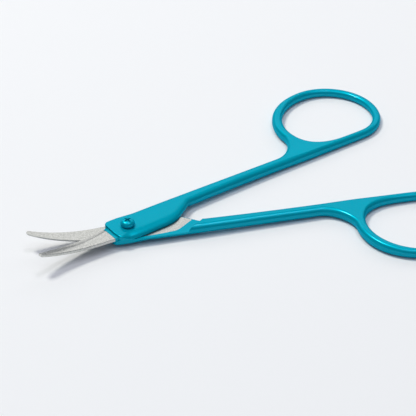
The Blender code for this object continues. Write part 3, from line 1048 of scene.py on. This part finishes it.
def make_grind_group():
    group, source, result = new_group("grinding_marks", [
        ("Light", "NodeSocketColor", (0.7, 0.7, 0.7, 1.0)),
        ("Dark", "NodeSocketColor", (0.5, 0.5, 0.5, 1.0)),
        ("Turn", "NodeSocketVector", (0.0, 0.0, 0.0)),
        ("Depth", "NodeSocketFloat", MARK_STRENGTH)])
    place = add(group, "ShaderNodeTexCoord").outputs["Object"]
    turned = add(group, "ShaderNodeMapping", {"Scale": MARK_SCALE})
    group.links.new(place, turned.inputs["Vector"])
    group.links.new(source["Turn"], turned.inputs["Rotation"])
    marks = noise(group, turned.outputs["Vector"], MARK_DETAIL).outputs["Fac"]
    speckle = noise(group, place, SPECKLE_DETAIL).outputs["Fac"]
    both = add(group, "ShaderNodeMath", operation="ADD")
    group.links.new(marks, both.inputs[0])
    group.links.new(speckle, both.inputs[1])
    grain = rescaled(group, both.outputs[0], GRAIN_CONTRAST)
    colour = mixed(group, grain, source["Light"], source["Dark"])
    rough = rescaled(group, marks, GRIND_ROUGHNESS)
    normal = bumped(group, marks, source["Depth"], MARK_DEPTH)
    link_surface(group, (colour, rough, normal), (result[label] for label in SURFACE))
    return group


grind_group = make_grind_group()
print(grind_group.name, "has", len(grind_group.nodes), "nodes")

# %% [markdown]
# ## The materials
#
# A material is a Principled shader with one of the two groups in front of it. What varies comes
# from the group, and what is the same all over is set on the shader's own sockets. The enamel's
# metal flake is a partly metallic base with a bright tint at grazing angles, and its clear film
# is the Coat. One steel could serve all pieces, but the two blades stand at different angles, so
# each gets its own turn of the marks.

# %% The materials
ENAMEL = (0.0, 0.385, 0.53, 1.0)
ENAMEL_DEEP = (0.0, 0.365, 0.505, 1.0)
ENAMEL_SHEEN = (0.0, 0.80, 1.0, 1.0)
ENAMEL_SHADER = {"Metallic": 0.45, "Specular IOR Level": 0.0, "Specular Tint": ENAMEL_SHEEN,
                 "Coat Weight": 0.044, "Coat IOR": 2.2, "Coat Roughness": 0.08}
STEEL_LIGHT = (0.605, 0.615, 0.595, 1.0)
STEEL_DARK = (0.43, 0.44, 0.42, 1.0)
STEEL_SHADER = {"Metallic": 1.0}


def make_material(name, group, group_values, shader_values):
    material = bpy.data.materials.new(name)
    material.use_nodes = True
    tree = material.node_tree
    shader = tree.nodes["Principled BSDF"]
    effect = add(tree, "ShaderNodeGroup", node_tree=group)
    set_inputs(effect, group_values)
    targets = (shader.inputs[label] for label in ("Base Color", "Roughness", "Normal"))
    link_surface(tree, (effect.outputs[label] for label in SURFACE), targets)
    set_inputs(shader, shader_values)
    return material


def enamel(name):
    colours = {"Colour": ENAMEL, "Deep colour": ENAMEL_DEEP}
    return make_material(name, dip_group, colours, ENAMEL_SHADER)


def steel(name, degrees):
    marks = {"Light": STEEL_LIGHT, "Dark": STEEL_DARK, "Turn": (0.0, 0.0, math.radians(degrees))}
    return make_material(name, grind_group, marks, STEEL_SHADER)


for obj, material in (
        (upper_handle, enamel("upper_enamel")),
        (lower_handle, enamel("lower_enamel")),
        (pivot_head, enamel("screw_enamel")),
        (upper_blade, steel("upper_steel", -opening / 2)),
        (lower_blade, steel("lower_steel", opening / 2)),
        (pivot_shank, steel("screw_steel", 0.0))):
    obj.data.materials.append(material)
    print(obj.name, "is finished with", material.name)

# %% [markdown]
# ## Which piece moves with what
#
# A real half is one rigid body, blade and handle together, and the screw turns with the lower
# half. Parenting by hand could say so, but the frame already knows its bodies. So each new piece
# rides on the body of the solid that it stands for and replaces that solid.

# %% Seat the pieces on the frame
for obj, body, node, slot_name in (
        (upper_handle, "upper", "upper_half", "teal_enamel"),
        (upper_blade, "upper", "upper_half", "bare_steel"),
        (lower_handle, "lower", "lower_half", "teal_enamel"),
        (lower_blade, "lower", "lower_half", "bare_steel"),
        (pivot_head, "lower", "pivot_screw", "teal_enamel"),
        (pivot_shank, "lower", "pivot_screw", "bare_steel")):
    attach(obj, body)
    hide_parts(node)
    print(obj.name, "rides on", body, "for", node)

# %% [markdown]
# ## The floor
#
# The photograph has a plain pale table. Its shadows widen from the rings to the joint, because
# the screw's end stands proud. A level floor under the lowest point would leave the rings in the
# air, so the table here is the plane that touches that end and both rings.

# %% Lay the floor
FLOOR_SIZE = 1.2
FLOOR_COLOUR = (0.875, 0.887, 0.93, 1.0)
FLOOR_SHADER = {"Base Color": FLOOR_COLOUR, "Roughness": 0.9, "Specular IOR Level": 0.1}

rest_slope = min(vert.co.z / vert.co.x for handle in (upper_handle, lower_handle)
                 for vert in handle.data.vertices if vert.co.x > SHANK_START)
lean = math.atan(rest_slope)
bm = bmesh.new()
bmesh.ops.create_grid(bm, x_segments=1, y_segments=1, size=FLOOR_SIZE / 2)
floor = to_object(bm, "floor")
move_mesh(floor, Matrix.Rotation(-lean, 4, "Y"))
print("the scissors lean", round(math.degrees(lean), 2), "degrees on the table")
floor_material = bpy.data.materials.new("pale_floor")
floor_material.use_nodes = True
set_inputs(floor_material.node_tree.nodes["Principled BSDF"], FLOOR_SHADER)
floor.data.materials.append(floor_material)

# %% [markdown]
# ## The light
#
# The key light is one soft lamp behind the scissors and to their left, and it casts the shadows.
# A wide card of light low behind them is what the flat tops mirror. A smaller lamp overhead draws
# the thin highlight along the rounds, and a weak broad one fills the shadows. An image of a
# studio could light it too, but four area lamps can be moved one by one. The room is dim, which
# keeps the sides deep.

# %% Lamps and world
LAMP_DISTANCE = 1.2
WORLD_COLOUR = (0.80, 0.86, 1.0, 1.0)
WORLD_STRENGTH = 0.22

# name, direction from the pivot, size in metres, power in watts, colour
for name, direction, size, power, colour in (
        ("key", (-0.288, 0.418, 1.0), (0.30, 0.30), 7.65, (1.0, 0.985, 0.87)),
        ("card", (0.333, 0.770, 0.545), (2.2, 0.55), 4.4, (1.0, 0.98, 0.95)),
        ("glint", (0.19, 0.05, 0.98), (0.34, 0.24), 1.9, (1.0, 0.97, 1.0)),
        ("fill", (-0.05, -0.30, 1.0), (1.0, 0.7), 2.38, (0.9, 0.95, 1.0))):
    data = bpy.data.lights.new(name, "AREA")
    data.shape = "RECTANGLE"
    data.size, data.size_y = size
    data.energy = power
    data.color = colour
    lamp = bpy.data.objects.new(name, data)
    way = Vector(direction).normalized()
    lamp.location = way * LAMP_DISTANCE
    lamp.rotation_euler = way.to_track_quat("Z", "Y").to_euler()
    bpy.context.scene.collection.objects.link(lamp)
    print(name, power, "W,", round(math.degrees(math.asin(way.z))), "degrees up")

world = bpy.data.worlds.new("studio")
world.use_nodes = True
backdrop = world.node_tree.nodes["Background"]
backdrop.inputs["Color"].default_value = WORLD_COLOUR
backdrop.inputs["Strength"].default_value = WORLD_STRENGTH
bpy.context.scene.world = world
bpy.context.scene.view_settings.view_transform = "Standard"
